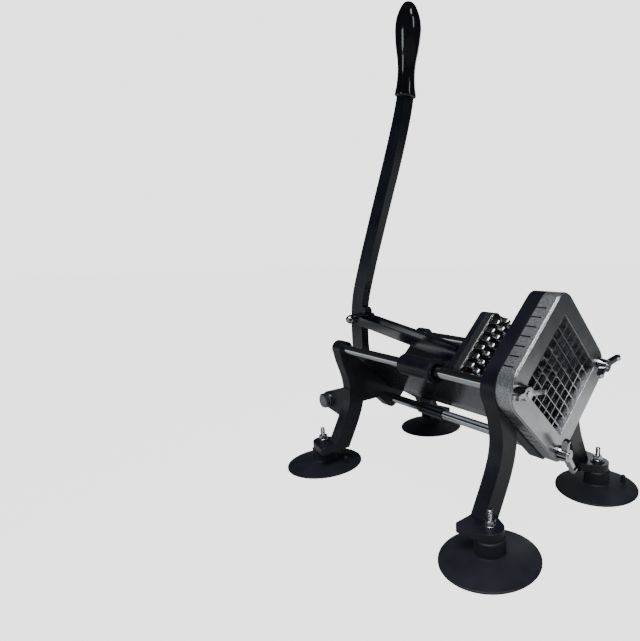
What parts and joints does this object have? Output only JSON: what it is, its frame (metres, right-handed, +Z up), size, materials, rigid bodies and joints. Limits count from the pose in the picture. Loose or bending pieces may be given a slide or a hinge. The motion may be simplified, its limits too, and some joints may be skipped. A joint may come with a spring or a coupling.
{
  "type": "french fry cutter",
  "caption": "Lever-operated french fry cutter: pusher carriage on guide rods, V tray, diagonal square blade frame and a tall curved handle on suction feet.",
  "frame": {"origin": "bottom centre of the whole cutter's bounding box with the handle at rest; the suction cups' lips stand on z = 0", "axes": "+X points to the outlet (blade) end, +Z up, and +Y completes the right-handed frame, which puts it on the left hand of someone who stands behind the handle and faces the outlet; the tray, the rods and the pusher's stroke run along X"},
  "size_m": [0.4188, 0.3, 0.5676],
  "materials": {
    "black_paint": "semi-gloss black enamel over castings",
    "cast_silver": "linished casting with bright bevel",
    "rod_chrome": "polished",
    "tray_steel": "polished sheet",
    "blade_steel": "fine ground",
    "wing_chrome": "bright plated",
    "pin_chrome": "bright plated",
    "block_grey": "dark satin with a bright front edge",
    "bronze": "oiled",
    "zinc": "zinc plated",
    "grip_plastic": "high gloss black",
    "cup_rubber": "matte black"
  },
  "bodies": {
    "frame": {"front_frame": "black_paint", "rear_frame": "black_paint", "guide_rod_left": "rod_chrome", "guide_rod_right": "rod_chrome", "lower_tie_rod": "rod_chrome", "rod_end_screws": "zinc", "rod_end_washers": "zinc", "potato_tray": "tray_steel", "tray_clip": "tray_steel", "blade_frame": "cast_silver", "blades_rising": "blade_steel", "blades_falling": "blade_steel", "wing_nut_washers": "zinc", "pivot_bolt": "zinc", "pivot_nut": "zinc", "pivot_washers": "zinc", "suction_cup_front_left": "cup_rubber", "suction_cup_front_right": "cup_rubber", "suction_cup_rear_left": "cup_rubber", "suction_cup_rear_right": "cup_rubber", "foot_studs": "zinc", "foot_nuts": "zinc", "foot_washers": "zinc"},
    "carriage": {"carriage": "black_paint", "pusher_block": "block_grey", "pin_plate": "pin_chrome", "pusher_pins": "pin_chrome", "block_screws": "zinc", "bush_left": "bronze", "bush_right": "bronze"},
    "lever": {"handle_lever": "black_paint", "handle_grip": "grip_plastic", "grip_stud": "zinc"},
    "links": {"link_bar_left": "black_paint", "link_bar_right": "black_paint", "link_rear_bolt": "zinc", "link_rear_nut": "wing_chrome", "link_rear_washers": "zinc", "link_front_bolt": "zinc", "link_front_nut": "zinc", "link_front_washers": "zinc"},
    "wing_left": {"wing_nut_left": "wing_chrome"},
    "wing_right": {"wing_nut_right": "wing_chrome"},
    "wing_lower": {"wing_nut_lower": "wing_chrome"}
  },
  "joints": [
    {"name": "handle_hinge", "type": "hinge", "parent": "frame", "child": "lever", "pos_m": [-0.18062, 0, 0.079], "axis": [0, 1, 0], "range_deg": [-40, 34]},
    {"name": "pusher_slide", "type": "slide", "parent": "frame", "child": "carriage", "axis": [1, 0, 0], "range_m": [-0.0716, 0.0609]},
    {"name": "link_hinge", "type": "hinge", "parent": "lever", "child": "links", "pos_m": [-0.18862, 0, 0.1906], "axis": [0, 1, 0], "range_deg": [-32.4, 38]},
    {"name": "wing_left_turn", "type": "hinge", "parent": "frame", "child": "wing_left", "pos_m": [0.17908, -0.072, 0.1625], "axis": [1, 0, 0], "continuous": true},
    {"name": "wing_right_turn", "type": "hinge", "parent": "frame", "child": "wing_right", "pos_m": [0.17908, 0.072, 0.1625], "axis": [1, 0, 0], "continuous": true},
    {"name": "wing_lower_turn", "type": "hinge", "parent": "frame", "child": "wing_lower", "pos_m": [0.17908, 0, 0.0795], "axis": [1, 0, 0], "continuous": true}
  ],
  "couplings": [
    {"joint": "pusher_slide", "follows": "handle_hinge", "m_per_rad": 0.1023},
    {"joint": "link_hinge", "follows": "handle_hinge", "ratio": -0.9435}
  ]
}
